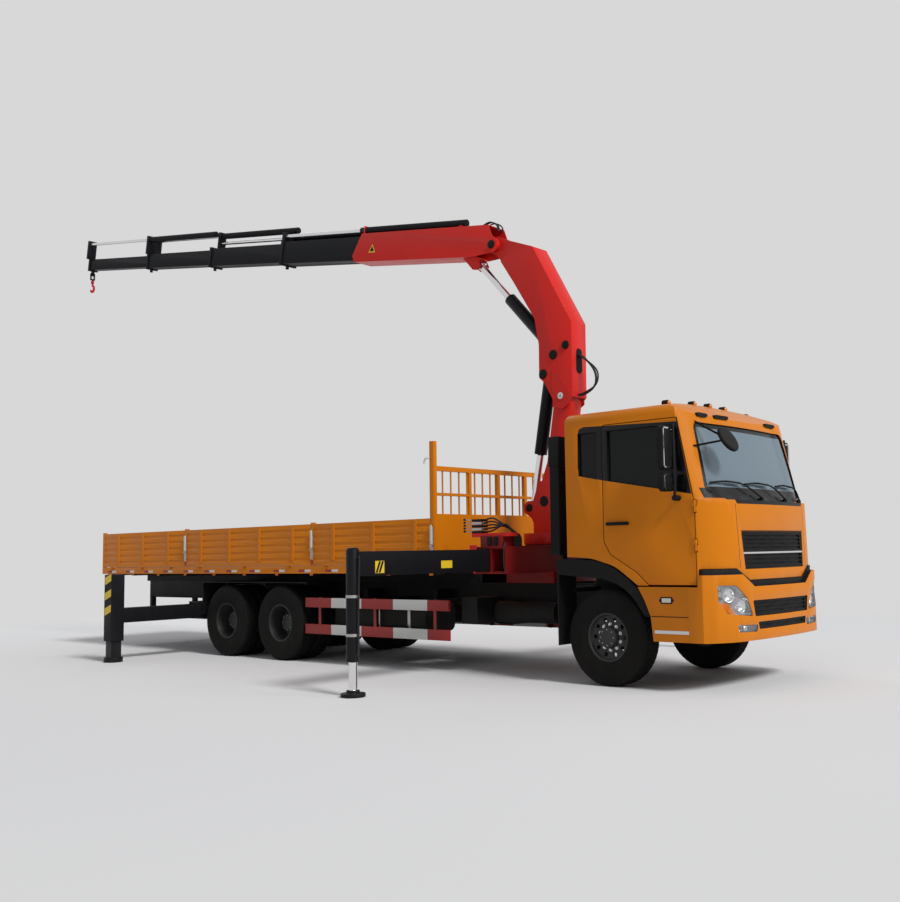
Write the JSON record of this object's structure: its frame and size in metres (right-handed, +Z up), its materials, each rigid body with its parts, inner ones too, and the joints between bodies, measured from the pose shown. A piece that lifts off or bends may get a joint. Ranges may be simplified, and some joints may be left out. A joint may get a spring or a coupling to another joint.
{
  "type": "knuckle boom crane truck",
  "caption": "Cab-over flatbed truck with a folding crane behind the cab, its telescopic boom raised over the bed, drop sides and outriggers extended on both sides.",
  "frame": {"origin": "on the ground, at the middle of the box that holds the whole machine at rest", "axes": "+X towards the cab's front, +Y to the vehicle's left, +Z up"},
  "size_m": [15.0682, 6.66, 7.9334],
  "materials": {
    "orange_paint": "gloss",
    "red_paint": "gloss",
    "black_paint": "satin",
    "chassis_black": "matt",
    "tyre_rubber": "matt",
    "black_plastic": "matt",
    "window_glass": "clear",
    "lamp_glass": "clear",
    "rod_chrome": "polished"
  },
  "bodies": {
    "truck": {"chassis_frame": "chassis_black", "cab_shell": "orange_paint", "cab_glass": "window_glass", "cab_interior": "black_plastic", "front_bumper": "orange_paint", "front_grille": "black_plastic", "front_lamps": "lamp_glass", "front_mirror": "black_plastic", "intake_stack": "black_plastic", "bed": "orange_paint", "side_gear": "chassis_black", "wheel_arches": "black_plastic", "crane_base": "red_paint", "rear_tube": "black_paint"},
    "steer_right": {"steer_right": "chassis_black"},
    "front_wheel_right": {"front_wheel_right": "tyre_rubber"},
    "mid_wheels_right": {"mid_wheels_right": "tyre_rubber"},
    "rear_wheels_right": {"rear_wheels_right": "tyre_rubber"},
    "door_right": {"door_right": "orange_paint", "door_glass_right": "window_glass"},
    "side_front_right": {"side_front_right": "orange_paint"},
    "side_middle_right": {"side_middle_right": "orange_paint"},
    "side_rear_right": {"side_rear_right": "orange_paint"},
    "front_beam_right": {"front_beam_right": "black_paint"},
    "front_leg_right": {"front_leg_right": "black_paint"},
    "rear_beam_right": {"rear_beam_right": "black_paint"},
    "rear_leg_right": {"rear_leg_right": "black_paint"},
    "steer_left": {"steer_left": "chassis_black"},
    "front_wheel_left": {"front_wheel_left": "tyre_rubber"},
    "mid_wheels_left": {"mid_wheels_left": "tyre_rubber"},
    "rear_wheels_left": {"rear_wheels_left": "tyre_rubber"},
    "door_left": {"door_left": "orange_paint", "door_glass_left": "window_glass"},
    "side_front_left": {"side_front_left": "orange_paint"},
    "side_middle_left": {"side_middle_left": "orange_paint"},
    "side_rear_left": {"side_rear_left": "orange_paint"},
    "front_beam_left": {"front_beam_left": "black_paint"},
    "front_leg_left": {"front_leg_left": "black_paint"},
    "rear_beam_left": {"rear_beam_left": "black_paint"},
    "rear_leg_left": {"rear_leg_left": "black_paint"},
    "tailgate": {"tailgate": "orange_paint"},
    "column": {"column": "red_paint"},
    "main_boom": {"main_boom": "red_paint"},
    "lift_barrel": {"lift_barrel": "black_paint"},
    "lift_rod": {"lift_rod": "rod_chrome"},
    "knuckle_barrel": {"knuckle_barrel": "black_paint"},
    "knuckle_rod": {"knuckle_rod": "rod_chrome"},
    "outer_boom": {"outer_boom": "red_paint"},
    "section_1": {"section_1": "black_paint"},
    "section_2": {"section_2": "black_paint"},
    "section_3": {"section_3": "black_paint"},
    "section_4": {"section_4": "black_paint"},
    "hook": {"hook": "red_paint"}
  },
  "joints": [
    {"name": "steer_right_turn", "type": "hinge", "parent": "truck", "child": "steer_right", "pos_m": [6.00911, -0.84, 0.526], "axis": [0, 0, 1], "range_deg": [-35, 35]},
    {"name": "front_wheel_right_roll", "type": "hinge", "parent": "steer_right", "child": "front_wheel_right", "pos_m": [6.00911, -1.025, 0.526], "axis": [0, 1, 0], "continuous": true},
    {"name": "mid_wheels_right_roll", "type": "hinge", "parent": "truck", "child": "mid_wheels_right", "pos_m": [0.35911, -0.93, 0.526], "axis": [0, 1, 0], "continuous": true},
    {"name": "rear_wheels_right_roll", "type": "hinge", "parent": "truck", "child": "rear_wheels_right", "pos_m": [-0.94089, -0.93, 0.526], "axis": [0, 1, 0], "continuous": true},
    {"name": "door_right_open", "type": "hinge", "parent": "truck", "child": "door_right", "pos_m": [7.18011, -1.2, 1.9], "axis": [0, 0, 1], "range_deg": [0, 65]},
    {"name": "side_front_right_drop", "type": "hinge", "parent": "truck", "child": "side_front_right", "pos_m": [1.00911, -1.257, 1.344], "axis": [1, 0, 0], "range_deg": [0, 178]},
    {"name": "side_middle_right_drop", "type": "hinge", "parent": "truck", "child": "side_middle_right", "pos_m": [1.00911, -1.257, 1.344], "axis": [1, 0, 0], "range_deg": [0, 178]},
    {"name": "side_rear_right_drop", "type": "hinge", "parent": "truck", "child": "side_rear_right", "pos_m": [1.00911, -1.257, 1.344], "axis": [1, 0, 0], "range_deg": [0, 178]},
    {"name": "front_beam_right_out", "type": "slide", "parent": "truck", "child": "front_beam_right", "axis": [0, -1, 0], "range_m": [-1.95, 0.05]},
    {"name": "front_leg_right_up", "type": "slide", "parent": "front_beam_right", "child": "front_leg_right", "axis": [0, 0, 1], "range_m": [0, 0.28]},
    {"name": "rear_beam_right_out", "type": "slide", "parent": "truck", "child": "rear_beam_right", "axis": [0, -1, 0], "range_m": [-1.2, 0.05]},
    {"name": "rear_leg_right_up", "type": "slide", "parent": "rear_beam_right", "child": "rear_leg_right", "axis": [0, 0, 1], "range_m": [0, 0.2]},
    {"name": "steer_left_turn", "type": "hinge", "parent": "truck", "child": "steer_left", "pos_m": [6.00911, 0.84, 0.526], "axis": [0, 0, 1], "range_deg": [-35, 35]},
    {"name": "front_wheel_left_roll", "type": "hinge", "parent": "steer_left", "child": "front_wheel_left", "pos_m": [6.00911, 1.025, 0.526], "axis": [0, 1, 0], "continuous": true},
    {"name": "mid_wheels_left_roll", "type": "hinge", "parent": "truck", "child": "mid_wheels_left", "pos_m": [0.35911, 0.93, 0.526], "axis": [0, 1, 0], "continuous": true},
    {"name": "rear_wheels_left_roll", "type": "hinge", "parent": "truck", "child": "rear_wheels_left", "pos_m": [-0.94089, 0.93, 0.526], "axis": [0, 1, 0], "continuous": true},
    {"name": "door_left_open", "type": "hinge", "parent": "truck", "child": "door_left", "pos_m": [7.18011, 1.2, 1.9], "axis": [0, 0, -1], "range_deg": [0, 65]},
    {"name": "side_front_left_drop", "type": "hinge", "parent": "truck", "child": "side_front_left", "pos_m": [1.00911, 1.257, 1.344], "axis": [-1, 0, 0], "range_deg": [0, 178]},
    {"name": "side_middle_left_drop", "type": "hinge", "parent": "truck", "child": "side_middle_left", "pos_m": [1.00911, 1.257, 1.344], "axis": [-1, 0, 0], "range_deg": [0, 178]},
    {"name": "side_rear_left_drop", "type": "hinge", "parent": "truck", "child": "side_rear_left", "pos_m": [1.00911, 1.257, 1.344], "axis": [-1, 0, 0], "range_deg": [0, 178]},
    {"name": "front_beam_left_out", "type": "slide", "parent": "truck", "child": "front_beam_left", "axis": [0, 1, 0], "range_m": [-1.95, 0.05]},
    {"name": "front_leg_left_up", "type": "slide", "parent": "front_beam_left", "child": "front_leg_left", "axis": [0, 0, 1], "range_m": [0, 0.28]},
    {"name": "rear_beam_left_out", "type": "slide", "parent": "truck", "child": "rear_beam_left", "axis": [0, 1, 0], "range_m": [-1.2, 0.05]},
    {"name": "rear_leg_left_up", "type": "slide", "parent": "rear_beam_left", "child": "rear_leg_left", "axis": [0, 0, 1], "range_m": [0, 0.2]},
    {"name": "tailgate_drop", "type": "hinge", "parent": "truck", "child": "tailgate", "pos_m": [-4.54789, 0, 1.344], "axis": [0, -1, 0], "range_deg": [0, 178]},
    {"name": "slew", "type": "hinge", "parent": "truck", "child": "column", "pos_m": [4.34911, 0, 1.56], "axis": [0, 0, 1], "range_deg": [-110, 290]},
    {"name": "lift", "type": "hinge", "parent": "column", "child": "main_boom", "pos_m": [4.67911, 0, 3.42], "axis": [0, 1, 0], "range_deg": [-26, 12]},
    {"name": "lift_barrel_swing", "type": "hinge", "parent": "main_boom", "child": "lift_barrel", "pos_m": [4.39911, 0, 3.73], "axis": [0, 1, 0], "range_deg": [-11.48, 23.7]},
    {"name": "lift_rod_run", "type": "slide", "parent": "lift_barrel", "child": "lift_rod", "axis": [-0.185, 0, -0.9827], "range_m": [-0.1808, 0.0942]},
    {"name": "knuckle", "type": "hinge", "parent": "main_boom", "child": "outer_boom", "pos_m": [3.56911, 0, 5.6], "axis": [0, 1, 0], "range_deg": [-24, 30]},
    {"name": "knuckle_barrel_swing", "type": "hinge", "parent": "main_boom", "child": "knuckle_barrel", "pos_m": [4.56911, 0, 3.96], "axis": [0, 1, 0], "range_deg": [-2.57, 2.96]},
    {"name": "knuckle_rod_run", "type": "slide", "parent": "knuckle_barrel", "child": "knuckle_rod", "axis": [-0.6804, 0, 0.7329], "range_m": [-0.174, 0.2125]},
    {"name": "extend_1", "type": "slide", "parent": "outer_boom", "child": "section_1", "axis": [-0.9869, 0, 0.1616], "range_m": [-1.8, 0.06]},
    {"name": "extend_2", "type": "slide", "parent": "section_1", "child": "section_2", "axis": [-0.9869, 0, 0.1616], "range_m": [-1.9, 0.06]},
    {"name": "extend_3", "type": "slide", "parent": "section_2", "child": "section_3", "axis": [-0.9869, 0, 0.1616], "range_m": [-1.95, 0.06]},
    {"name": "extend_4", "type": "slide", "parent": "section_3", "child": "section_4", "axis": [-0.9869, 0, 0.1616], "range_m": [-2.05, 0.06]},
    {"name": "hook_swing", "type": "hinge", "parent": "section_4", "child": "hook", "pos_m": [-7.45518, 0, 7.27458], "axis": [0, 1, 0], "range_deg": [-60, 60]}
  ],
  "couplings": [
    {"joint": "steer_left_turn", "follows": "steer_right_turn", "ratio": 1},
    {"joint": "lift_barrel_swing", "follows": "lift", "ratio": -0.87298},
    {"joint": "lift_rod_run", "follows": "lift", "m_per_rad": 0.35416},
    {"joint": "knuckle_barrel_swing", "follows": "knuckle", "ratio": 0.065392},
    {"joint": "knuckle_rod_run", "follows": "knuckle", "m_per_rad": 0.36755}
  ]
}
